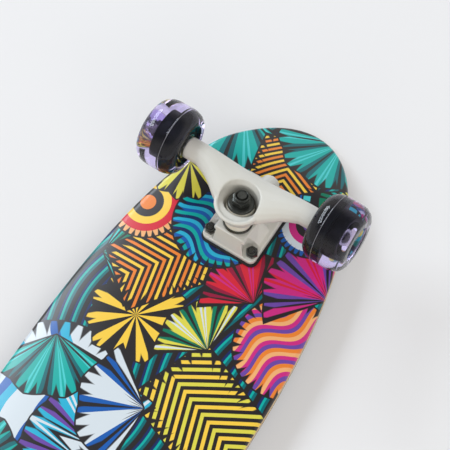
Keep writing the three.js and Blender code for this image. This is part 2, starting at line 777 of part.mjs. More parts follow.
function addWheel(truck, end, side, sideSign) {
  const way = new THREE.Vector3(0, sideSign, 0);
  const place = new THREE.Vector3(axleX, sideSign * wheelCentreY, axleHeight);
  addPiece(truck, `wheel_tyre_${end}_${side}`, makeTyre(place, way), 'clearLilac');
  addPiece(truck, `wheel_core_${end}_${side}`, makeCore(place, way), 'core');
  addPiece(truck, `bearing_outer_${end}_${side}`, makeBearing(place, way, 1), 'steel');
  addPiece(truck, `bearing_inner_${end}_${side}`, makeBearing(place, way, -1), 'steel');
  addPiece(truck, `axle_nut_${end}_${side}`, makeAxleNut(way), 'blackSteel');
}

function addTruck(end, truckX, turn) {
  const truck = new THREE.Group();
  truck.position.set(truckX, 0, flatHeight);
  truck.rotation.z = turn;
  addPiece(truck, `riser_pad_${end}`, makeRiser(), 'rubber');
  addPiece(truck, `baseplate_${end}`, makeBaseplate(), 'casting');
  addPiece(truck, `kingpin_${end}`, makeKingpin(), 'blackSteel');
  addPiece(truck, `lower_cup_washer_${end}`, cupWasher(lowerWasherRadius, seatHeight + fit, 1), 'blackSteel');
  addPiece(truck, `lower_bushing_${end}`, makeLowerBushing(), 'cream');
  addPiece(truck, `upper_bushing_${end}`, makeUpperBushing(), 'cream');
  addPiece(truck, `upper_cup_washer_${end}`, cupWasher(upperWasherRadius, upperWasherFoot, -1), 'blackSteel');
  const kingpinNut = lockNut(
    kingpinNutAcross, kingpinNutHeight, kingpinRadius + fit, kingpinNutFoot, ringCentre, kingpinWay);
  addPiece(truck, `kingpin_nut_${end}`, kingpinNut, 'blackSteel');
  addPiece(truck, `pivot_cup_${end}`, makePivotCup(), 'cream');
  addPiece(truck, `hanger_${end}`, makeHanger(), 'casting');
  addPiece(truck, `axle_${end}`, makeAxle(), 'steel');
  for (const localSign of [1, -1]) {
    const side = localSign * Math.cos(turn) > 0 ? 'left' : 'right';
    addWheel(truck, end, side, localSign);
  }
  for (const { x, y, name } of boltPlaces) {
    addPiece(truck, `deck_bolt_${end}_${name}`, makeDeckBolt(), 'blackSteel', new THREE.Vector3(x, y, 0));
    addPiece(truck, `deck_nut_${end}_${name}`, makeDeckNut(), 'blackSteel', new THREE.Vector3(x, y, 0));
  }
  skateboard.add(truck);
}

addPiece(skateboard, 'deck', makeDeck(), 'wood');
addPiece(skateboard, 'grip_tape', makeGripTape(), 'grip');
addTruck('front', frontTruckX, 0);
addTruck('rear', rearTruckX, Math.PI);

export default skateboard;
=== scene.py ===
import math

import bpy
from mathutils import Matrix, Vector


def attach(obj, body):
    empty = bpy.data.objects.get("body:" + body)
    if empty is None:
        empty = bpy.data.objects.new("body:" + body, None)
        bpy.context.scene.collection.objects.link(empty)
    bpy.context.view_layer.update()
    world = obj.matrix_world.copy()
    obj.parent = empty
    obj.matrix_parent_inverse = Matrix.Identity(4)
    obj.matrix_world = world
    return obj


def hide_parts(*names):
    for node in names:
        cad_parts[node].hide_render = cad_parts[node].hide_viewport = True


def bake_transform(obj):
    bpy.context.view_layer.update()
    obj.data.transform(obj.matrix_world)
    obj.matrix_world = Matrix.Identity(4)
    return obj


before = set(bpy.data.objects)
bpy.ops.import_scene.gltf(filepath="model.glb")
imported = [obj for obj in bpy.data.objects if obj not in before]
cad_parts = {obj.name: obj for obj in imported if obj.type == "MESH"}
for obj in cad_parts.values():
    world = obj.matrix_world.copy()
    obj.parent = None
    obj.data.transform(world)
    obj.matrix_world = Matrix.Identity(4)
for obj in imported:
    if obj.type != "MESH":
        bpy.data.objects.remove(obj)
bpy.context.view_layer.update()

# The script's own unit is the metre. Sizes below are written in millimetres and multiplied by mm.
mm = 0.001

# Deck, as the CAD part has it.
deck_length = 692 * mm
deck_width = 208 * mm
deck_thickness = 11 * mm
deck_edge_radius = 3.4 * mm
deck_flat_height = 39 * mm
nose_overhang = 107 * mm
bolt_spacing_long = 53.5 * mm
bolt_spacing_wide = 41.3 * mm
inner_bolt_wheelbase = 355.6 * mm
dish_depth = 6 * mm
dish_flat_half_width = 30 * mm
nose_powers = (2.6, 2)
tail_powers = (2.4, 3.6)
nose_kick = {"run": 69 * mm, "radius": 60 * mm}
tail_kick = {"run": 119 * mm, "radius": 120 * mm}
grip_thickness = 0.8 * mm
grip_inset = 0.6 * mm
clearance = 0.3 * mm

# Truck, measured from the middle of its four bolts on the deck's underside.
# Heights on the kingpin's line are measured from the middle of the hanger's ring.
kingpin_lean = math.radians(17)
ring_centre = Vector((-10.4, 0, 40.75)) * mm
ring_half_thickness = 2.4 * mm
kingpin_radius = 4.76 * mm
kingpin_tip = 22.5 * mm
kingpin_head_depth = 12 * mm
kingpin_head_height = 6 * mm
kingpin_nut_across = 14.3 * mm
kingpin_nut_height = 8 * mm
lower_bushing_height = 11.2 * mm
lower_bushing_radius = 11.4 * mm
bushing_chamfer = 1 * mm
waist_depth = 0.5 * mm
waist_half_height = 2 * mm
upper_bushing_height = 9 * mm
upper_bushing_radii = (12.2 * mm, 11.7 * mm, 10 * mm)
upper_bushing_bands = (1 * mm, 3 * mm)
washer_thickness = 1.5 * mm
washer_rim = 1.5 * mm
washer_wall = 1 * mm
washer_fillet = 0.4 * mm
lower_washer_radius = 12.7 * mm
upper_washer_radius = 11.5 * mm
riser_thickness = 2.7 * mm
riser_overlap = 1.6 * mm
plate_reach = (-35 * mm, 35.6 * mm)
plate_width = 52 * mm
plate_corner = 5 * mm
pocket_floor = 8.7 * mm
bolt_radius = 2.4 * mm
bolt_head_radius = 4.7 * mm
bolt_head_height = 2.8 * mm
bolt_stick_out = 16.6 * mm
cross_half_size = (2.6 * mm, 0.55 * mm)
cross_depth = 1.6 * mm
cross_corner = 0.2 * mm
cross_edge = 0.05 * mm
deck_nut_across = 9.5 * mm
deck_nut_height = 6 * mm

# Axle, measured from the same place as the truck.
axle_x = 10.7 * mm
axle_height = 56.5 * mm
axle_radius = 3.95 * mm
axle_half_length = 96.5 * mm
axle_thread_length = 14 * mm
axle_nut_across = 12.7 * mm
axle_nut_width = 6.2 * mm
wheel_centre_y = 81.25 * mm

# Wheel, measured from its middle along the axle, outboard positive.
wheel_radius = 29.8 * mm
wheel_half_width = 18.8 * mm
tread_half_width = 5 * mm
side_flat_radius = 19.8 * mm
shoulder_power = 0.9
shoulder_steps = 16
inner_recess_radii = (19 * mm, 12.7 * mm)
outer_recess_radii = (15 * mm, 11.5 * mm)
seam_offset = 7 * mm
seam_half_width = 0.22 * mm
seam_height = 0.06 * mm
tyre_bite = 0.25 * mm
core_offset = 5 * mm
core_half_width = 12 * mm
core_radius = 19.2 * mm
core_step_radius = 14 * mm
core_step_reach = 2.7 * mm
core_bore_radius = 9 * mm
bearing_radius = 11 * mm
bearing_width = 7 * mm
bearing_ring_radii = (6 * mm, 9.4 * mm)
bearing_fit = 0.1 * mm
bearing_edge = 0.2 * mm
shield_sink = 0.6 * mm

# Threads: pitches, shares of a pitch, and how far a tip is turned down and over what length.
coarse_pitch = 1.06 * mm
bolt_pitch = 0.8 * mm
thread_depth_share = 0.45
thread_turn_shares = (0.1, 0.45, 0.6, 0.95)
kingpin_point = (0.9 * mm, 1.2 * mm)
bolt_point = (0.5 * mm, 0.6 * mm)
axle_point = (0.8 * mm, 1 * mm)

# Edges: of moulded pieces and the kingpin's head, and of nuts and washers.
soft_edge = 0.4 * mm
steel_edge = 0.25 * mm

# Lock nuts: shares of a nut's own size, and its small turned edges.
nut_collar_share = 0.3
nut_chamfer_share = 0.55
nut_foot_share = 0.98
nut_shoulder_share = 0.96
nut_collar_radius_share = 0.88
nut_collar_turn = (0.5 * mm, 0.4 * mm)
nut_lead_width = 0.6 * mm
nut_lead_depth = 0.5 * mm
nut_mouth_depth = 0.4 * mm
nut_mouth_rise = 0.1 * mm
nut_play = 0.15 * mm
deck_nut_play = 0.12 * mm

# Camera, solved from the photograph with the board's known sizes.
camera_place = Vector((-0.13907, -0.34465, 1.29277))
camera_right = Vector((0.5513340, -0.8305611, -0.0787347))
camera_up = Vector((0.7899949, 0.4893949, 0.3693247))
camera_lens = 128
camera_sensor = 36

# Studio: a floor, a row of window panes and the room round it, in metres and watts.
floor_size = 12
floor_glow = (0.222, 0.223, 0.232)
window_ends = (Vector((-0.95, 2.66, 3.41)), Vector((2.94, 2.66, 2.04)))
window_columns = 6
window_row_gap = 0.64
pane_size = (0.62, 0.58)
pane_power = 8.4
pane_colour = (0.84, 0.92, 1.0)
fill_place = Vector((-1.3, -1.8, 3.0))
fill_size = (3.4, 3.4)
fill_power = 84
fill_colour = (1.0, 0.96, 0.9)
wall_colour = (0.62, 0.6, 0.57)
ceiling_colour = (0.16, 0.16, 0.16)
ceiling_edge = 0.62
ceiling_softness = 0.3

# How finely pieces are made: steps round a turned piece, the deck's grid and rim, the castings' skin.
fine_steps = 96
round_steps = 64
small_steps = 36
board_grid = (150, 56)
rim_steps = 5
casting_skin = 0.6 * mm
hanger_rounds = 14
baseplate_rounds = 6
kick_halvings = 40
least_reach = 1e-6
weld_distance = 0.005 * mm
fine_weld_distance = 0.001 * mm
# How far a cutter runs past the face that it cuts.
overrun = 1 * mm
# Bolt cutters are turned a little, so that none of their facets lies along the deck's grid.
cutter_turn = Matrix.Rotation(0.05, 4, "Z")
# How upright a face's normal is, at least, on the deck's printed side and on a bearing's shield.
printed_slope = 0.3
shield_slope = 0.9

# Values worked out from the sizes above.
up = Vector((0, 0, 1))
kingpin_way = Vector((math.sin(kingpin_lean), 0, math.cos(kingpin_lean)))
kingpin_bore = kingpin_radius + clearance
front_truck_x = deck_length / 2 - nose_overhang
rear_truck_x = front_truck_x - inner_bolt_wheelbase - bolt_spacing_long
widest_x = (front_truck_x + rear_truck_x) / 2
lower_bushing_top = -ring_half_thickness - clearance
lower_bushing_foot = lower_bushing_top - lower_bushing_height
seat_height = lower_bushing_foot - 2 * clearance - washer_thickness
kingpin_foot = seat_height - kingpin_head_depth - clearance
upper_bushing_foot = ring_half_thickness + clearance
upper_bushing_top = upper_bushing_foot + upper_bushing_height
upper_washer_foot = upper_bushing_top + clearance
kingpin_nut_foot = upper_washer_foot + washer_thickness + clearance
core_inner = -core_offset - core_half_width
core_outer = -core_offset + core_half_width
core_step = -core_offset + core_step_reach
# The pieces of a truck that stand once in it, with what each is made of.
truck_slots = {
    "hanger": "casting", "baseplate": "casting", "riser_pad": "riser",
    "kingpin": "black_steel", "kingpin_nut": "black_steel",
    "lower_bushing": "bushing", "upper_bushing": "bushing",
    "lower_cup_washer": "black_steel", "upper_cup_washer": "black_steel",
}
# The heights of each bushing's two ends on the kingpin's line: the end on the board's side, then the end at
# the hanger.
bushing_heights = {
    "lower_bushing": (lower_bushing_foot, lower_bushing_top),
    "upper_bushing": (upper_bushing_top, upper_bushing_foot),
}
truck_places = {
    "front": Matrix.Translation((front_truck_x, 0, deck_flat_height)),
    "rear": Matrix.Translation((rear_truck_x, 0, deck_flat_height)) @ Matrix.Rotation(math.pi, 4, "Z"),
}
bolt_places = {
    f"{reach}_{side}": Vector((along * bolt_spacing_long / 2, aside * bolt_spacing_wide / 2, 0))
    for reach, along in (("outer", 1), ("inner", -1))
    for side, aside in (("left", 1), ("right", -1))
}
bearing_places = {
    label: Matrix.Translation((0, 0, -core_offset + sign * (core_half_width - bearing_width / 2)))
    for label, sign in (("outer", 1), ("inner", -1))
}


# Modelling by hand: small steps that every piece uses.
def deselect_all():
    bpy.ops.object.select_all(action="DESELECT")


def pick(piece):
    """Makes this piece the only one selected."""
    deselect_all()
    piece.select_set(True)
    bpy.context.view_layer.objects.active = piece


def edit_all():
    """Opens the picked piece in edit mode with all of it selected."""
    bpy.ops.object.mode_set(mode="EDIT")
    bpy.ops.mesh.select_all(action="SELECT")


def open_piece(name):
    """Names the primitive just added and opens it in edit mode."""
    piece = bpy.context.object
    piece.name = piece.data.name = name
    edit_all()
    return piece


def close_piece(piece):
    """Merges doubled points, turns the faces outwards and puts the piece's place into its mesh."""
    bpy.ops.mesh.select_all(action="SELECT")
    bpy.ops.mesh.remove_doubles(threshold=weld_distance)
    bpy.ops.mesh.normals_make_consistent(inside=False)
    bpy.ops.object.mode_set(mode="OBJECT")
    return settle(piece)


def settle(piece, matrix=None):
    """Puts the piece's place, and any further move, into its mesh."""
    bpy.context.view_layer.update()
    piece.data.transform((matrix or Matrix.Identity(4)) @ piece.matrix_world)
    piece.matrix_world = Matrix.Identity(4)
    return piece


def pick_upright(piece, least):
    """In edit mode, selects only the edges that climb by more than this."""
    bpy.ops.mesh.select_mode(type="EDGE")
    bpy.ops.mesh.select_all(action="DESELECT")
    bpy.ops.object.mode_set(mode="OBJECT")
    for line in piece.data.edges:
        a, b = (piece.data.vertices[i].co for i in line.vertices)
        line.select = abs(a.z - b.z) > least
    bpy.ops.object.mode_set(mode="EDIT")


def weld(piece, distance):
    """Merges the points of a piece that lie this close together."""
    pick(piece)
    edit_all()
    bpy.ops.mesh.remove_doubles(threshold=distance)
    bpy.ops.object.mode_set(mode="OBJECT")
    return piece


def show(thing):
    """Puts an object in the scene."""
    bpy.context.scene.collection.objects.link(thing)
    return thing


def linked_copy(model, name):
    """A copy of a piece with a mesh of its own, put in the scene."""
    piece = model.copy()
    piece.data = model.data.copy()
    piece.name = piece.data.name = name
    return show(piece)


def finish_with(piece, kind, **settings):
    """Adds a modifier and applies it."""
    modifier = piece.modifiers.new(kind.lower(), kind)
    for name, value in settings.items():
        setattr(modifier, name, value)
    pick(piece)
    bpy.ops.object.modifier_apply(modifier=modifier.name)
    return piece


def combine(piece, tool, operation):
    """Joins a tool piece to this one, or cuts with it, and removes the tool."""
    finish_with(piece, "BOOLEAN", object=tool, operation=operation, solver="EXACT")
    bpy.data.objects.remove(tool)
    return piece


def soften_edges(piece, width, segments=3, sharpest=35):
    """Rounds the edges that turn by more than the given degrees."""
    return finish_with(
        piece, "BEVEL", width=width, segments=segments,
        limit_method="ANGLE", angle_limit=math.radians(sharpest))


def smooth_shade(piece, angle=35):
    """Shades a piece smooth, apart from edges that turn by more than the given degrees."""
    pick(piece)
    bpy.ops.object.shade_smooth_by_angle(angle=math.radians(angle))
    return piece


def turn_to(way):
    """The turn that takes +Z to the given way."""
    return up.rotation_difference(way).to_matrix().to_4x4()


def spun(name, profile, steps=round_steps):
    """A turned piece about Z: an outline of (radius, height) points, drawn and spun round."""
    deselect_all()
    bpy.ops.mesh.primitive_plane_add(size=mm)
    piece = open_piece(name)
    bpy.ops.mesh.merge(type="CENTER")
    bpy.ops.transform.translate(value=(profile[0][0], 0, profile[0][1]))
    for before, after in zip(profile, profile[1:]):
        step = (after[0] - before[0], 0, after[1] - before[1])
        bpy.ops.mesh.extrude_vertices_move(TRANSFORM_OT_translate={"value": step})
    bpy.ops.mesh.select_all(action="SELECT")
    bpy.ops.mesh.remove_doubles(threshold=weld_distance)
    bpy.ops.mesh.spin(
        steps=steps, angle=2 * math.pi, center=(0, 0, 0), axis=(0, 0, 1), use_auto_merge=True)
    return close_piece(piece)


def mirrored(points):
    """The same outline points on the other side of the middle, in reverse order."""
    return [(radius, -height) for radius, height in reversed(points)]


def prism(name, sides, radius, foot, top):
    """A straight bar with the given number of sides, standing on Z."""
    deselect_all()
    bpy.ops.mesh.primitive_cylinder_add(
        vertices=sides, radius=radius, depth=top - foot, location=(0, 0, (foot + top) / 2))
    return close_piece(open_piece(name))


def rounded_block(name, low, high, corner, edge, corner_segments=10):
    """A plate: a cube stretched to its box, with upright corners and then rims rounded."""
    low, high = Vector(low), Vector(high)
    middle = (low + high) / 2
    deselect_all()
    bpy.ops.mesh.primitive_cube_add(size=1, location=middle)
    piece = open_piece(name)
    bpy.ops.transform.resize(value=high - low, center_override=middle)
    pick_upright(piece, edge)
    bpy.ops.mesh.bevel(offset=corner, segments=corner_segments, affect="EDGES")
    bpy.ops.mesh.select_mode(type="VERT")
    return soften_edges(close_piece(piece), edge, sharpest=60)


def thread(radius, foot, top, pitch):
    """Outline points of a threaded stretch: crests and roots, as close rings."""
    root = radius - thread_depth_share * pitch
    points = []
    for turn in range(max(1, int((top - foot) / pitch))):
        for share, reach in zip(thread_turn_shares, (root, radius, radius, root)):
            points.append((reach, foot + turn * pitch + share * pitch))
    return points


def threaded_end(radius, foot, tip, pitch, point):
    """Outline points of a pin's end: its thread, and then its tip turned down by the point's sizes."""
    turned, length = point
    return [*thread(radius, foot, tip - length, pitch), (radius - turned, tip), (0, tip)]


def lock_nut(name, across, height, bore):
    """A lock nut standing on Z: a hexagon with turned corners, and a round collar on its far end."""
    flat = across / 2
    corner = across / math.sqrt(3)
    hex_top = height * (1 - nut_collar_share)
    chamfer = (corner - flat) * nut_chamfer_share
    nut = soften_edges(prism(name, 6, corner, 0, hex_top), steel_edge, sharpest=50)
    barrel = spun("barrel", [
        (0, 0), (flat * nut_foot_share, 0), (corner, chamfer), (corner, hex_top - chamfer),
        (flat * nut_shoulder_share, hex_top), (0, hex_top)])
    combine(nut, barrel, "INTERSECT")
    reach = flat * nut_collar_radius_share
    turned, turned_height = nut_collar_turn
    collar = spun("collar", [
        (0, height / 2), (reach, height / 2), (reach, height - turned_height),
        (reach - turned, height), (0, height)])
    combine(nut, collar, "UNION")
    lead = bore + nut_lead_width
    hole = spun("bore", [
        (0, -overrun), (lead, -overrun), (lead, 0), (bore, nut_lead_depth),
        (bore, height - nut_mouth_depth), (lead, height + nut_mouth_rise),
        (lead, height + overrun), (0, height + overrun)])
    combine(nut, hole, "DIFFERENCE")
    return smooth_shade(weld(nut, fine_weld_distance), angle=30)


# Shader writing: one class for numbers, one for a material.
class Value:
    """A number worked out by nodes. Sums, differences and products of it add their Math nodes."""

    def __init__(self, material, socket):
        self.material = material
        self.socket = socket

    def work(self, operation, terms, clamp=False):
        """Adds a Math node that works on these terms."""
        sockets = dict(zip(("Value", "Value_001", "Value_002"), terms))
        node = self.material.add("ShaderNodeMath", {"operation": operation, "use_clamp": clamp}, sockets)
        return self.material.number(node)

    def math(self, operation, *others, clamp=False):
        return self.work(operation, (self, *others), clamp)

    def __add__(self, other):
        return self.math("ADD", other)

    def __radd__(self, other):
        return self.work("ADD", (other, self))

    def __sub__(self, other):
        return self.math("SUBTRACT", other)

    def __rsub__(self, other):
        return self.work("SUBTRACT", (other, self))

    def __mul__(self, other):
        return self.math("MULTIPLY", other)

    def __rmul__(self, other):
        return self.work("MULTIPLY", (other, self))

    def __abs__(self):
        return self.math("ABSOLUTE")

    def least(self, other):
        return self.math("MINIMUM", other)

    def above(self, softness):
        """1 where the number is positive and 0 where it is negative, with a soft step between."""
        return self.math("MULTIPLY_ADD", 1 / softness, 0.5, clamp=True)


class Finish:
    """A material with one main shader, whose nodes are added by this class's own method."""

    def __init__(self, name, **constants):
        self.data = bpy.data.materials.new(name)
        self.data.use_nodes = True
        self.tree = self.data.node_tree
        self.tree.nodes.clear()
        output = self.tree.nodes.new("ShaderNodeOutputMaterial")
        self.shader = self.tree.nodes.new("ShaderNodeBsdfPrincipled")
        self.tree.links.new(self.shader.outputs[0], output.inputs["Surface"])
        for label, value in constants.items():
            self.feed(label.replace("_", " ").title().replace("Ior", "IOR"), value)
        self.place = self.add("ShaderNodeTexCoord", {}, {}).outputs["Object"]

    def feed(self, label, value):
        """Sets one socket of the main shader, or links it."""
        self.fill(self.shader, label, value)

    def fill(self, node, label, value):
        """Sets a node's socket to a number or colour, or links it to another socket."""
        target = next(s for s in node.inputs if s.enabled and label in (s.identifier, s.name))
        if isinstance(value, Value):
            value = value.socket
        if isinstance(value, bpy.types.NodeSocket):
            self.tree.links.new(value, target)
        elif target.type == "RGBA":
            target.default_value = (*value, 1)
        else:
            target.default_value = value

    def add(self, kind, settings, sockets):
        """Adds a node: its settings first, then its sockets' values or links."""
        node = self.tree.nodes.new(kind)
        for label, value in settings.items():
            if label == "stops":
                self.set_stops(node.color_ramp, value)
            else:
                setattr(node, label, value)
        for label, value in sockets.items():
            self.fill(node, label, value)
        return node

    def set_stops(self, ramp, stops):
        """Gives a ramp flat bands of colour, each from its own position onwards."""
        ramp.interpolation = "CONSTANT"
        while len(ramp.elements) < len(stops):
            ramp.elements.new(0.5)
        for element, (position, colour) in zip(ramp.elements, stops):
            element.position = position
            element.color = (*colour, 1)

    def number(self, node, output=0):
        return Value(self, node.outputs[output])

    def parts(self, vector):
        """The three numbers of a vector."""
        node = self.add("ShaderNodeSeparateXYZ", {}, {"Vector": vector})
        return [self.number(node, axis) for axis in "XYZ"]

    def bands(self, share, stops):
        """The colour that the stops give to a number from 0 to 1."""
        return self.add("ShaderNodeValToRGB", {"stops": stops}, {"Fac": share}).outputs[0]

    def mix(self, share, below, above):
        """A colour between two others."""
        node = self.add(
            "ShaderNodeMix", {"data_type": "RGBA"},
            {"Factor_Float": share, "A_Color": below, "B_Color": above})
        return next(s for s in node.outputs if s.identifier == "Result_Color")

    def noise(self, scale, detail):
        return self.number(self.add(
            "ShaderNodeTexNoise", {}, {"Vector": self.place, "Scale": scale, "Detail": detail}))

    def bump(self, height, distance, strength):
        sockets = {"Height": height, "Distance": distance, "Strength": strength}
        self.feed("Normal", self.add("ShaderNodeBump", {}, sockets).outputs[0])


class Room(Finish):
    """The air round the studio: its colour by direction, with the same node methods as a material's."""

    def __init__(self, name):
        self.data = bpy.data.worlds.new(name)
        self.data.use_nodes = True
        self.tree = self.data.node_tree
        self.shader = self.tree.nodes["Background"]
        self.place = self.add("ShaderNodeTexCoord", {}, {}).outputs["Generated"]


def dress(piece, *finishes):
    """Gives a piece these finishes and no others."""
    piece.data.materials.clear()
    for finish in finishes:
        piece.data.materials.append(finish.data)
    return piece


def srgb(red, green, blue):
    """A colour as it looks on screen, 0 to 255, as the linear colour a shader takes."""
    def linear(level):
        level /= 255
        return level / 12.92 if level <= 0.04045 else ((level + 0.055) / 1.055) ** 2.4
    return tuple(linear(level) for level in (red, green, blue))


def mottled(name, grain, dark, light, rough, bump=None, bump_grain=None, **constants):
    """A finish that wavers with a noise, its grain, and takes its bump from it or from a finer one.

    A grain is a scale and a detail, rough the least roughness and what the noise adds to it, and
    bump a depth and a strength.
    """
    finish = Finish(name, **constants)
    cloud = finish.noise(*grain)
    finish.feed("Base Color", finish.mix(cloud, srgb(*dark), srgb(*light)))
    finish.feed("Roughness", cloud * rough[1] + rough[0])
    if bump:
        finish.bump(finish.noise(*bump_grain) if bump_grain else cloud, *bump)
    return finish


# Inks of the deck's print.
ink = {
    "charcoal": srgb(38, 34, 36),
    "teal": srgb(0, 172, 164),
    "deep_teal": srgb(0, 104, 112),
    "aqua": srgb(74, 205, 206),
    "cyan": srgb(40, 178, 214),
    "blue": srgb(22, 92, 176),
    "navy": srgb(20, 42, 98),
    "purple": srgb(108, 72, 164),
    "magenta": srgb(206, 44, 132),
    "red": srgb(214, 36, 56),
    "crimson": srgb(150, 22, 60),
    "orange": srgb(236, 132, 50),
    "peach": srgb(242, 178, 118),
    "lime": srgb(222, 214, 78),
    "yellow": srgb(248, 206, 72),
    "pale": srgb(214, 224, 232),
    "green": srgb(0, 122, 92),
}

# The print's motifs, back to front: kind, middle in mm, half size in mm, turn in degrees, inks, and
# how many rays, ribs or bands it has.
print_motifs = [
    ("wave", (22, 58), 66, 25, ("pale", "pale", "pale", "cyan", "blue"), 3),
    ("chevron", (75, -66), 56, 70, ("charcoal", "lime", "charcoal", "yellow"), 7),
    ("shell", (8, 0), 60, 40, ("purple", "cyan", "pale"), 9),
    ("shell", (70, 82), 58, 205, ("deep_teal", "teal", "aqua"), 10),
    ("sun", (118, 34), 44, 10, ("charcoal", "yellow"), 11),
    ("shell", (56, -18), 60, 118, ("blue", "pale", "pale"), 8),
    ("shell", (124, -34), 46, 60, ("green", "lime", "pale"), 9),
    ("wave", (160, -86), 44, -30, ("purple", "magenta", "peach", "orange"), 6),
    ("shell", (150, 92), 56, -60, ("green", "teal", "aqua"), 9),
    ("chevron", (172, 40), 46, -38, ("charcoal", "yellow", "charcoal", "orange"), 7),
    ("shell", (178, -44), 48, 60, ("crimson", "red", "magenta"), 8),
    ("target", (208, 84), 34, 0, ("orange", "charcoal", "yellow", "red", "peach"), 1),
    ("wave", (224, 20), 42, 80, ("navy", "cyan", "blue", "teal"), 6),
    ("shell", (214, -94), 58, 78, ("purple", "magenta", "red"), 8),
    ("sun", (258, 74), 38, 0, ("charcoal", "lime"), 12),
    ("shell", (330, 66), 66, 196, ("deep_teal", "teal", "aqua"), 9),
    ("chevron", (286, -4), 44, 15, ("charcoal", "orange", "charcoal", "yellow"), 7),
    ("target", (262, -46), 30, 0, ("purple", "charcoal", "magenta", "pale", "blue"), 1),
    ("arch", (300, -72), 50, 130, ("lime", "teal", "green", "charcoal", "aqua"), 1),
    ("shell", (352, -22), 58, 172, ("deep_teal", "teal", "aqua"), 10),
]
# Ink edges and outlines, in mm.
ink_edge = 0.35
outline_width = 1.5
# The strokes engraved along a motif's outline, and the motifs' own forms, where a half size is 1.
hatch_count = 34
hatch_reach = 0.62
hatch_taper = 3.4
hatch_edge = 0.2
arch_foot = 0.35
arch_hollow = 0.25
arch_spread = 1.333
ray_depth = 0.12
ray_ink_share = 0.999
fan_half_angle = 1.15
rib_depth = 0.07
rib_ink_shares = (0, 0.1, 0.36, 0.8, 0.93)
sway_rate = 5.0
sway_depth = 0.13
spike_slope = 0.8
spike_reach = 0.7
# The wavy lines behind the motifs, per metre of the deck.
backing_rate = 90.0
backing_sway_rate = 40.0
backing_sway = 0.7
backing_stops = [(0, ink["charcoal"]), (0.4, ink["deep_teal"]), (0.62, ink["teal"]), (0.8, ink["navy"])]
# The deck's edge, in shares of a ply and of the deck's depth.
ply_count = 7
glue_share = 0.42
paint_share = 0.2
ply_softness = 0.04
# How sharply the grip tape's grains stand out, and from what height.
grit_contrast = 4.0
grit_offset = -2.2


def spokes(u, v, count):
    """Climbs from 0 to 1 and back, the given number of times round the middle."""
    return (v.math("ARCTAN2", u) * (count / math.pi)).math("PINGPONG", 1.0)


def motif_field(kind, u, v, count):
    """How deep a point lies inside a motif whose half size is 1, and its place in the ink order."""
    reach = (u * u + v * v).math("SQRT")
    if kind == "target":
        return 1 - reach, reach
    if kind == "arch":
        return (1 - reach).least(v + arch_foot), (reach - arch_hollow) * arch_spread
    if kind == "sun":
        rays = spokes(u, v, count)
        return 1 - reach + rays * ray_depth - ray_depth, rays * ray_ink_share
    if kind == "shell":
        ribs = spokes(u, v, count)
        fan = (fan_half_angle - abs(v.math("ARCTAN2", u))) * reach
        return (1 - rib_depth + ribs * rib_depth - reach).least(fan), ribs
    if kind == "wave":
        sway = (u * sway_rate).math("SINE") * sway_depth
        return 1 - reach, ((v + sway) * (count / 2)).math("FRACT")
    spike = abs(v) * spike_slope
    return (1 - abs(u)).least(spike_reach - abs(v)), ((u + spike) * (count / 2)).math("FRACT")


def hatching(u, v, inside):
    """Positive on short engraved strokes that taper inwards from a motif's outline."""
    return hatch_reach - inside * hatch_taper - spokes(u, v, hatch_count)


def ink_order(kind, inks):
    """Stops of the inks across a motif, with the shell's ribs shaded from seam to crest."""
    if kind == "shell":
        names = ("charcoal", inks[0], inks[1], inks[2], inks[1])
        return [(share, ink[name]) for share, name in zip(rib_ink_shares, names)]
    return [(i * (1 / len(inks)), ink[name]) for i, name in enumerate(inks)]


def printed_colour(finish):
    """The print: each motif is laid over the last inside a dark outline, alike on both halves."""
    x, y, _ = finish.parts(finish.place)
    flat = finish.add("ShaderNodeCombineXYZ", {}, {"X": abs(x), "Y": y}).outputs[0]
    sway = (abs(x) * backing_sway_rate).math("SINE") * backing_sway
    colour = finish.bands((y * backing_rate + sway).math("FRACT"), backing_stops)
    for kind, middle, size, turn, inks, count in print_motifs:
        spot = finish.add(
            "ShaderNodeMapping", {"vector_type": "TEXTURE"},
            {"Vector": flat, "Location": (middle[0] * mm, middle[1] * mm, 0),
             "Rotation": (0, 0, math.radians(turn)), "Scale": (size * mm, size * mm, 1)})
        u, v, _ = finish.parts(spot.outputs[0])
        depth, order = motif_field(kind, u, v, count)
        inside = depth - outline_width / size
        inked = finish.bands(order, ink_order(kind, inks))
        inked = finish.mix(hatching(u, v, inside).above(hatch_edge), inked, ink["charcoal"])
        colour = finish.mix(depth.above(ink_edge / size), colour, ink["charcoal"])
        colour = finish.mix(inside.above(ink_edge / size), colour, inked)
    return colour


def deck_print_finish():
    """The printed underside, under a thin clear coat."""
    finish = Finish("deck_print", roughness=0.3, coat_weight=0.35, coat_roughness=0.12)
    finish.feed("Base Color", printed_colour(finish))
    finish.bump(finish.noise(scale=900, detail=3), distance=0.05 * mm, strength=0.25)
    return finish


def ply_finish():
    """Plies seen at the deck's edge: the attribute says how deep in the deck a point lies."""
    finish = Finish("plies", roughness=0.5)
    depth = finish.number(finish.add("ShaderNodeAttribute", {"attribute_name": "ply_depth"}, {}), "Fac")
    grain = finish.noise(scale=60, detail=4)
    wood = finish.mix(grain, srgb(226, 204, 166), srgb(190, 158, 112))
    glue = abs((depth * ply_count).math("FRACT") - 0.5) - glue_share
    wood = finish.mix(glue.above(ply_softness), wood, srgb(120, 84, 52))
    paint = (paint_share - depth).above(ply_softness)
    finish.feed("Base Color", finish.mix(paint, wood, ink["teal"]))
    finish.bump(grain, distance=0.1 * mm, strength=0.3)
    return finish


def grip_finish():
    """Grip tape: pale grains standing out of a black sheet."""
    finish = Finish("grip_grit", roughness=0.92)
    grit = finish.noise(scale=1600, detail=2)
    grains = grit.math("MULTIPLY_ADD", grit_contrast, grit_offset, clamp=True)
    finish.feed("Base Color", finish.mix(grains, srgb(18, 18, 20), srgb(66, 66, 70)))
    finish.bump(grit, distance=0.35 * mm, strength=0.9)
    return finish


deck_print = deck_print_finish()
plies = ply_finish()
grip_grit = grip_finish()
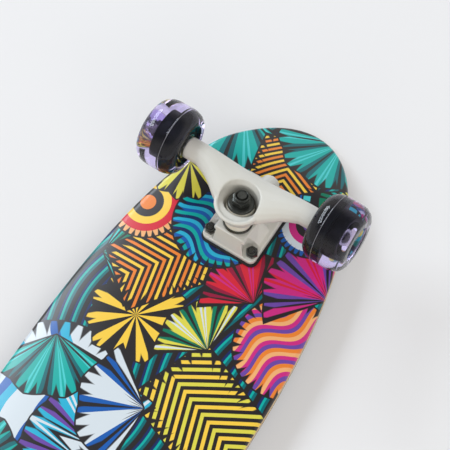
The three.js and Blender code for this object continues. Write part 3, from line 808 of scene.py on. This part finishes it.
# Truck castings: warm white paint over a faint cast grain.
casting = mottled(
    "white_casting", grain=(35, 3), dark=(206, 205, 198), light=(216, 215, 208), rough=(0.34, 0.12),
    bump=(0.06 * mm, 0.35), bump_grain=(700, 3), coat_roughness=0.25, coat_weight=0.25)
black_steel = mottled(
    "black_steel", grain=(400, 4), dark=(64, 66, 64), light=(106, 108, 104), rough=(0.12, 0.2),
    bump=(0.03 * mm, 0.3), metallic=0.8)
bright_steel = mottled(
    "bright_steel", grain=(500, 3), dark=(176, 178, 182), light=(208, 209, 212), rough=(0.18, 0.18),
    metallic=1.0)
bearing_shield = mottled(
    "bearing_shield", grain=(300, 3), dark=(150, 150, 152), light=(182, 181, 180), rough=(0.22, 0.15),
    metallic=1.0)
bushing_urethane = mottled(
    "bushing_urethane", grain=(120, 2), dark=(212, 206, 192), light=(222, 218, 206), rough=(0.38, 0.1),
    subsurface_weight=0.15, subsurface_radius=(0.004, 0.003, 0.002))
riser_rubber = mottled(
    "riser_rubber", grain=(300, 4), dark=(24, 24, 26), light=(44, 44, 46), rough=(0.6, 0.2),
    bump=(0.08 * mm, 0.4))
# Clear lilac urethane with a faintly uneven skin.
clear_urethane = mottled(
    "clear_urethane", grain=(40, 2), dark=(212, 198, 250), light=(224, 214, 252), rough=(0.02, 0.04),
    bump=(0.05 * mm, 0.06), transmission_weight=1.0, ior=1.48, specular_ior_level=0.55)
# The thin line of flash where the tyre's mould closed, left dull and pale.
mould_seam = mottled(
    "mould_seam", grain=(260, 2), dark=(120, 118, 128), light=(150, 148, 158), rough=(0.4, 0.2),
    transmission_weight=0.35, ior=1.48)
core_plastic = mottled(
    "wheel_core", grain=(200, 3), dark=(3, 8, 9), light=(12, 20, 21), rough=(0.45, 0.15),
    specular_ior_level=0.16)


# Setting finished pieces into the frame.
def set_piece(piece, body, node):
    """Hangs a piece under the body that carries it, if there is one, and hides the CAD part that it stands
    in for.
    """
    if body:
        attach(piece, body)
    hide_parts(node)
    return piece


def set_copy(model, name, matrix, body, node):
    """A copy of a modelled piece, put in its place."""
    piece = linked_copy(model, name)
    piece.data.transform(matrix)
    return set_piece(piece, body, node)


# Deck and grip tape: modelled flat, then pressed to shape.
def kick_angle(kick):
    """The angle at which the grip tape at the tip just touches the floor."""
    stack = deck_thickness + clearance + grip_thickness
    run, radius = kick["run"], kick["radius"]
    low, high = 0, math.pi / 4
    for _ in range(kick_halvings):
        angle = (low + high) / 2
        straight = (run - radius * math.sin(angle)) * math.tan(angle)
        drop = radius * (1 - math.cos(angle)) + straight
        if drop + stack * math.cos(angle) > deck_flat_height:
            high = angle
        else:
            low = angle
    return low


for board_kick in (nose_kick, tail_kick):
    board_kick["angle"] = kick_angle(board_kick)


def kick_at(x):
    """How far the deck has dropped towards the floor at x, and its slope there."""
    kick = nose_kick if x > 0 else tail_kick
    radius, angle = kick["radius"], kick["angle"]
    past = max(0, abs(x) - (deck_length / 2 - kick["run"]))
    arc = radius * math.sin(angle)
    if past < arc:
        slope = math.asin(past / radius)
        return radius * (1 - math.cos(slope)), slope
    return radius * (1 - math.cos(angle)) + (past - arc) * math.tan(angle), angle


def press(piece, base_depth=0):
    """Presses a flat board into its kicks and dish. A point's depth below the print stays as it was."""
    depths = piece.data.attributes.new("ply_depth", "FLOAT", "POINT")
    for i, point in enumerate(piece.data.vertices):
        x, y, depth = point.co.x, point.co.y, base_depth - point.co.z
        drop, slope = kick_at(x)
        share = max(0, abs(y) - dish_flat_half_width) / (deck_width / 2 - dish_flat_half_width)
        sideways = math.copysign(math.sin(slope), x) * depth
        height = deck_flat_height - drop - dish_depth * share ** 2 - depth * math.cos(slope)
        point.co = (x - sideways, y, height)
        depths.data[i].value = depth / deck_thickness


def rim_profile(thickness, rounding):
    """From the board's face to its back: how far in from the outline, and how deep, each ring lies."""
    if not rounding:
        return [(0, 0), (0, thickness)]
    turns = [step / rim_steps * math.pi / 2 for step in range(rim_steps + 1)]
    upper = [(rounding * (1 - math.sin(turn)), rounding * (1 - math.cos(turn))) for turn in turns]
    return upper + [(inwards, thickness - depth) for inwards, depth in reversed(upper)]


def flat_board(name, thickness, inset, rounding):
    """The deck's outline as a flat board with its face at z = 0: a grid drawn out to the outline."""
    rim = rim_profile(thickness, rounding)
    deselect_all()
    bpy.ops.mesh.primitive_grid_add(x_subdivisions=board_grid[0], y_subdivisions=board_grid[1], size=2)
    piece = open_piece(name)
    bpy.ops.mesh.extrude_region_move(TRANSFORM_OT_translate={"value": (0, 0, -1)})
    if rounding:
        pick_upright(piece, least=0.5)
        bpy.ops.mesh.subdivide(number_cuts=len(rim) - 2)
        bpy.ops.mesh.select_mode(type="VERT")
    bpy.ops.object.mode_set(mode="OBJECT")
    for point in piece.data.vertices:
        u, v = point.co.x, point.co.y
        inwards, depth = rim[round(-point.co.z * (len(rim) - 1))]
        disc = Vector((u * math.sqrt(1 - v * v / 2), v * math.sqrt(1 - u * u / 2)))
        reach = disc.length
        cosine, sine = disc / reach if reach > least_reach else (1, 0)
        length_power, width_power = nose_powers if cosine >= 0 else tail_powers
        span = deck_length / 2 - widest_x if cosine >= 0 else widest_x + deck_length / 2
        along = math.copysign(abs(cosine) ** (2 / length_power), cosine) * (span - inset - inwards)
        aside = math.copysign(abs(sine) ** (2 / width_power), sine) * (deck_width / 2 - inset - inwards)
        point.co = (widest_x + along * reach, aside * reach, -depth)
    bpy.ops.object.mode_set(mode="EDIT")
    return close_piece(piece)


def drill_bolt_holes(piece, profile):
    """Cuts a turned outline out of a board at each of the eight deck bolts."""
    cutter = spun("bolt_cutter", profile, small_steps)
    for place in truck_places.values():
        for spot in bolt_places.values():
            tool = linked_copy(cutter, "bolt_tool")
            tool.data.transform(Matrix.Translation((*(place @ spot).xy, 0)) @ cutter_turn)
            combine(piece, tool, "DIFFERENCE")
    bpy.data.objects.remove(cutter)


def make_deck():
    board = flat_board("deck_board", deck_thickness, inset=0, rounding=deck_edge_radius)
    shank = bolt_radius + clearance
    head = bolt_head_radius + clearance
    back = clearance - deck_thickness
    drill_bolt_holes(board, [
        (0, -2 * deck_thickness), (head, -2 * deck_thickness), (head, back),
        (shank, bolt_head_height + back), (shank, deck_thickness), (0, deck_thickness)])
    pick(board)
    edit_all()
    bpy.ops.mesh.fill_holes(sides=4)
    close_piece(board)
    dress(board, deck_print, plies)
    for face in board.data.polygons:
        face.material_index = 0 if face.normal.z > printed_slope else 1
    press(board)
    smooth_shade(board, angle=40)
    set_piece(board, "board", "deck")


def make_grip_tape():
    sheet = flat_board("grip_sheet", grip_thickness, inset=grip_inset, rounding=0)
    hole = bolt_head_radius + 2 * clearance
    foot = -overrun - grip_thickness
    drill_bolt_holes(sheet, [(0, foot), (hole, foot), (hole, overrun), (0, overrun)])
    press(sheet, deck_thickness + clearance)
    dress(sheet, grip_grit)
    smooth_shade(sheet, angle=40)
    set_piece(sheet, "board", "grip_tape")


# Truck pieces, modelled once in the truck's own frame.
def kingpin_place():
    """The place of a piece that was modelled about Z with the ring's middle at its foot."""
    return Matrix.Translation(ring_centre) @ turn_to(kingpin_way)


def on_kingpin(piece, height=0):
    """Moves a piece that was modelled about Z onto the kingpin's line."""
    return settle(piece, kingpin_place() @ Matrix.Translation((0, 0, height)))


def make_casting(node, name, rounds):
    """The CAD solid, welded, given a fine skin and rounded at its edges as a mould leaves them."""
    piece = linked_copy(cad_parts[node], name)
    for key in [key for key in piece.keys() if key.startswith("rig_")]:
        del piece[key]
    piece.parent = None
    weld(piece, weld_distance)
    finish_with(piece, "REMESH", mode="VOXEL", voxel_size=casting_skin, use_smooth_shade=True)
    finish_with(piece, "SMOOTH", factor=0.5, iterations=rounds)
    return settle(dress(piece, casting), truck_places["front"].inverted())


def make_riser_pad():
    half_width = plate_width / 2 + riser_overlap
    pad = rounded_block(
        "riser_model", (plate_reach[0] - riser_overlap, -half_width, clearance),
        (plate_reach[1] + riser_overlap, half_width, clearance + riser_thickness),
        plate_corner + riser_overlap, soft_edge)
    return smooth_shade(dress(pad, riser_rubber))


def make_kingpin():
    corner = kingpin_nut_across / math.sqrt(3)
    pin = prism("kingpin_model", 6, corner, kingpin_foot - kingpin_head_height, kingpin_foot)
    shank = spun("kingpin_shank", [
        (0, kingpin_foot - overrun), (kingpin_radius, kingpin_foot - overrun),
        (kingpin_radius, upper_washer_foot),
        *threaded_end(kingpin_radius, upper_washer_foot, kingpin_tip, coarse_pitch, kingpin_point)])
    combine(soften_edges(pin, soft_edge), shank, "UNION")
    return on_kingpin(smooth_shade(dress(pin, black_steel)))


def make_kingpin_nut():
    nut = lock_nut("kingpin_nut_model", kingpin_nut_across, kingpin_nut_height, kingpin_radius + nut_play)
    return on_kingpin(dress(nut, black_steel), kingpin_nut_foot)


def make_bushing(name, profile):
    """A cast urethane bushing round the kingpin, from its outline."""
    bushing = soften_edges(spun(name, profile), soft_edge, sharpest=20)
    return on_kingpin(smooth_shade(dress(bushing, bushing_urethane)))


def make_lower_bushing():
    """A barrel with a slight waist round its middle."""
    low, high, wide = lower_bushing_foot, lower_bushing_top, lower_bushing_radius
    middle = (low + high) / 2
    narrow = wide - bushing_chamfer
    return make_bushing("lower_bushing_model", [
        (kingpin_bore, low), (narrow, low), (wide, low + bushing_chamfer),
        (wide, middle - waist_half_height), (wide - waist_depth, middle),
        (wide, middle + waist_half_height), (wide, high - bushing_chamfer), (narrow, high),
        (kingpin_bore, high), (kingpin_bore, low)])


def make_upper_bushing():
    """A cone: a straight band at its foot, a slow taper and then a quick one to its top."""
    low, high = upper_bushing_foot, upper_bushing_top
    foot_radius, shoulder, top_radius = upper_bushing_radii
    foot_band, top_band = upper_bushing_bands
    return make_bushing("upper_bushing_model", [
        (kingpin_bore, low), (foot_radius, low), (foot_radius, low + foot_band),
        (shoulder, high - top_band), (top_radius, high), (kingpin_bore, high), (kingpin_bore, low)])


def make_cup_washer(radius, foot, upside_down):
    """A dished washer: a flat floor with a rim that holds the bushing."""
    top = foot + washer_thickness
    wall = radius - washer_wall
    profile = [
        (kingpin_bore, foot), (wall, foot), (radius, foot + washer_wall), (radius, top + washer_rim),
        (wall, top + washer_rim), (wall - washer_fillet, top), (kingpin_bore, top), (kingpin_bore, foot)]
    if upside_down:
        profile = [(reach, foot + top - height) for reach, height in profile]
    washer = soften_edges(spun("cup_washer_model", profile), steel_edge, sharpest=25)
    return on_kingpin(smooth_shade(dress(washer, black_steel)))


def make_deck_bolt():
    """A countersunk bolt with a cross slot in its head and its thread beyond the deck."""
    bolt = spun("deck_bolt_model", [
        (0, -deck_thickness), (bolt_head_radius, -deck_thickness),
        (bolt_radius, bolt_head_height - deck_thickness), (bolt_radius, 0),
        *threaded_end(bolt_radius, 0, bolt_stick_out, bolt_pitch, bolt_point)], small_steps)
    half_length, half_width = cross_half_size
    for turn in (0, math.pi / 2):
        cross = rounded_block(
            "cross_slot", (-half_length, -half_width, -deck_thickness - overrun),
            (half_length, half_width, cross_depth - deck_thickness), cross_corner, cross_edge, 2)
        combine(bolt, settle(cross, Matrix.Rotation(turn, 4, "Z")), "DIFFERENCE")
    return smooth_shade(dress(bolt, black_steel))


def make_deck_nut():
    nut = lock_nut("deck_nut_model", deck_nut_across, deck_nut_height, bolt_radius + deck_nut_play)
    return settle(dress(nut, black_steel), Matrix.Translation((0, 0, pocket_floor + clearance)))


def make_axle():
    """A straight bar, threaded at both ends."""
    thread_foot = axle_half_length - axle_thread_length
    half = [(axle_radius, 0), (axle_radius, thread_foot),
            *threaded_end(axle_radius, thread_foot, axle_half_length, coarse_pitch, axle_point)]
    axle = spun("axle_model", mirrored(half[1:]) + half, small_steps)
    place = Matrix.Translation((axle_x, 0, axle_height)) @ turn_to(Vector((0, 1, 0)))
    return settle(smooth_shade(dress(axle, bright_steel)), place)


# Wheel pieces, modelled about Z with the outboard side up.
def shoulder_radius(height):
    """The tyre's outer radius at a distance from its middle: flat tread, then a full round shoulder."""
    past = max(0, abs(height) - tread_half_width) / (wheel_half_width - tread_half_width)
    fall = (1 - past ** (2 / shoulder_power)) ** (shoulder_power / 2)
    return side_flat_radius + (wheel_radius - side_flat_radius) * fall


def tyre_outline():
    """Points along the outside of the tyre, from its inboard side to its outboard one, with the seam."""
    turns = [step / shoulder_steps * math.pi / 2 for step in range(shoulder_steps + 1)]
    reach = wheel_half_width - tread_half_width
    heights = [tread_half_width + reach * math.sin(turn) ** shoulder_power for turn in turns]
    heights += [-height for height in heights]
    points = [
        (shoulder_radius(height), height) for height in heights
        if abs(height + seam_offset) > 2 * seam_half_width]
    for share, raised in ((-1, 0), (-0.5, seam_height), (0.5, seam_height), (1, 0)):
        height = share * seam_half_width - seam_offset
        points.append((shoulder_radius(height) + raised, height))
    return sorted(points, key=lambda point: point[1])


def make_tyre():
    """The tyre, cast round its core, with a wide recess inboard and a narrow, steep one outboard."""
    inner_mouth, inner_foot = inner_recess_radii
    outer_mouth, outer_foot = outer_recess_radii
    hub, hub_step = core_radius - tyre_bite, core_step_radius - tyre_bite
    top, step, foot = core_outer - tyre_bite, core_step - tyre_bite, core_inner + tyre_bite
    tyre = spun("tyre_model", [
        (inner_mouth, -wheel_half_width), *tyre_outline(), (outer_mouth, wheel_half_width),
        (outer_foot, top), (hub_step, top), (hub_step, step), (hub, step), (hub, foot),
        (inner_foot, foot), (inner_mouth, -wheel_half_width)], fine_steps)
    dress(tyre, clear_urethane, mould_seam)
    for face in tyre.data.polygons:
        on_seam = abs(face.center.z + seam_offset) < seam_half_width
        face.material_index = 1 if on_seam and face.center.xy.length > core_radius else 0
    return smooth_shade(tyre, angle=30)


def make_core():
    """The core: a stepped drum with a seat for a bearing at each end."""
    seat = bearing_radius + bearing_fit
    inner_seat, outer_seat = core_inner + bearing_width, core_outer - bearing_width
    core = spun("core_model", [
        (seat, core_inner), (core_radius, core_inner), (core_radius, core_step),
        (core_step_radius, core_step), (core_step_radius, core_outer), (seat, core_outer),
        (seat, outer_seat), (core_bore_radius, outer_seat), (core_bore_radius, inner_seat),
        (seat, inner_seat), (seat, core_inner)], fine_steps)
    return smooth_shade(dress(soften_edges(core, soft_edge, sharpest=40), core_plastic))


def make_bearing():
    """A shielded ball bearing about Z: two steel rings with a pressed shield sunk between them."""
    bore = axle_radius + bearing_fit
    half = bearing_width / 2 - clearance
    inner_ring, outer_ring = bearing_ring_radii
    lower = [
        (bore, -half), (inner_ring, -half), (inner_ring, shield_sink - half),
        (outer_ring, shield_sink - half), (outer_ring, -half), (bearing_radius, -half)]
    bearing = spun("bearing_model", lower + mirrored(lower) + lower[:1], fine_steps)
    dress(bearing, bright_steel, bearing_shield)
    for face in bearing.data.polygons:
        between = inner_ring < face.center.xy.length < outer_ring
        face.material_index = 1 if between and abs(face.normal.z) > shield_slope else 0
    return smooth_shade(soften_edges(bearing, bearing_edge, segments=2, sharpest=40))


def make_axle_nut():
    nut = lock_nut("axle_nut_model", axle_nut_across, axle_nut_width, axle_radius + nut_play)
    return settle(dress(nut, black_steel), Matrix.Translation((0, 0, core_outer)))


# Putting the pieces together: each truck and wheel is a set of copies.
def place_wheels(end, place, models):
    """Sets the two wheels of a truck, with their bearings, on the axle's ends."""
    for sign in (1, -1):
        outwards = Vector((0, sign, 0))
        side = "left" if (place.to_3x3() @ outwards).y > 0 else "right"
        where = f"{end}_{side}"
        body = f"{where}_wheel"
        hub = Matrix.Translation((axle_x, sign * wheel_centre_y, axle_height))
        spot = place @ hub @ turn_to(outwards)
        set_copy(models["tyre"], f"tyre_{where}", spot, body, f"wheel_tyre_{where}")
        set_copy(models["core"], f"core_{where}", spot, body, f"wheel_core_{where}")
        for label, shift in bearing_places.items():
            set_copy(
                models["bearing"], f"ball_bearing_{label}_{where}", spot @ shift,
                body, f"bearing_{label}_{where}")
        set_copy(
            models["axle_nut"], f"axle_lock_nut_{where}", spot,
            f"{end}_axle_carrier", f"axle_nut_{where}")


def place_truck(end, place, models):
    """Sets one truck: its own pieces, the bushings fixed where they stand, the axle, and the bolts with
    their nuts.
    """
    carrier = f"{end}_axle_carrier"
    made = {}
    for label, slot in truck_slots.items():
        body = carrier if label == "hanger" else None if label in bushing_heights else "board"
        made[label] = set_copy(models[label], f"{label}_made_{end}", place, body, f"{label}_{end}")
    for label, heights in bushing_heights.items():
        held, given = (tuple(place @ kingpin_place() @ Vector((0, 0, height))) for height in heights)
        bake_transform(made[label])
    set_copy(models["axle"], f"axle_bar_{end}", place, carrier, f"axle_{end}")
    for label, spot in bolt_places.items():
        there = place @ Matrix.Translation(spot)
        where = f"{end}_{label}"
        set_copy(models["bolt"], f"bolt_{where}", there, "board", f"deck_bolt_{where}")
        set_copy(models["nut"], f"lock_nut_{where}", there, "board", f"deck_nut_{where}")
    dress(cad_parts[f"pivot_cup_{end}"], bushing_urethane)


def make_running_gear():
    """Models each piece of the trucks and wheels once, sets its copies and removes the models."""
    models = {
        "hanger": make_casting("hanger_front", "hanger_model", hanger_rounds),
        "baseplate": make_casting("baseplate_front", "baseplate_model", baseplate_rounds),
        "riser_pad": make_riser_pad(),
        "kingpin": make_kingpin(),
        "kingpin_nut": make_kingpin_nut(),
        "lower_bushing": make_lower_bushing(),
        "upper_bushing": make_upper_bushing(),
        "lower_cup_washer": make_cup_washer(lower_washer_radius, seat_height + clearance, False),
        "upper_cup_washer": make_cup_washer(upper_washer_radius, upper_washer_foot, True),
        "bolt": make_deck_bolt(),
        "nut": make_deck_nut(),
        "axle": make_axle(),
        "axle_nut": make_axle_nut(),
        "bearing": make_bearing(),
        "tyre": make_tyre(),
        "core": make_core(),
    }
    for end, place in truck_places.items():
        place_truck(end, place, models)
        place_wheels(end, place, models)
    for model in models.values():
        bpy.data.objects.remove(model)


# Studio: floor, lamps, world and camera.
def floor_finish():
    """Pale paper with a faint glow of its own, as in a bright room."""
    finish = Finish("floor_paper", roughness=0.9, emission_color=floor_glow, emission_strength=1.0)
    cloud = finish.noise(scale=3, detail=2)
    finish.feed("Base Color", finish.mix(cloud, srgb(202, 202, 203), srgb(206, 206, 207)))
    finish.bump(finish.noise(scale=300, detail=3), distance=0.05 * mm, strength=0.1)
    return finish


def make_floor():
    deselect_all()
    bpy.ops.mesh.primitive_plane_add(size=floor_size)
    floor = bpy.context.object
    floor.name = "floor"
    dress(floor, floor_finish())


def add_lamp(name, place, aim, size, power, colour):
    """A square-cornered soft lamp that looks at a point."""
    data = bpy.data.lights.new(name, "AREA")
    data.shape = "RECTANGLE"
    data.size, data.size_y = size
    data.energy = power
    data.color = colour
    lamp = show(bpy.data.objects.new(name, data))
    lamp.location = place
    lamp.rotation_euler = (aim - place).to_track_quat("-Z", "Y").to_euler()
    return lamp


def light_studio():
    """A long window of two rows of panes up and to the left of the picture, a soft fill and a warm room."""
    aim = Vector((front_truck_x, 0, axle_height))
    along = window_ends[1] - window_ends[0]
    look = (window_ends[0] + along / 2 - aim).normalized()
    upward = look.cross(along).normalized()
    for column in range(window_columns):
        middle = window_ends[0] + along * ((column + 0.5) / window_columns)
        for row in (-1, 1):
            place = middle + upward * row * window_row_gap / 2
            add_lamp(f"pane_{column}_{(row + 1) // 2}", place, aim, pane_size, pane_power, pane_colour)
    fill = add_lamp("fill", fill_place, aim, fill_size, fill_power, fill_colour)
    fill.visible_glossy = False
    room = Room("studio_room")
    rise = room.parts(room.place)[2]
    overhead = (rise - ceiling_edge).above(ceiling_softness)
    room.feed("Color", room.mix(overhead, wall_colour, ceiling_colour))
    bpy.context.scene.world = room.data


def set_camera():
    data = bpy.data.cameras.new("camera")
    data.lens = camera_lens
    data.sensor_width = camera_sensor
    camera = show(bpy.data.objects.new("camera", data))
    back = camera_right.cross(camera_up)
    turn = Matrix((camera_right, camera_up, back)).transposed().to_4x4()
    camera.matrix_world = Matrix.Translation(camera_place) @ turn
    bpy.context.scene.camera = camera
    bpy.context.scene.view_settings.view_transform = "Standard"


make_deck()
make_grip_tape()
make_running_gear()
make_floor()
light_studio()
set_camera()
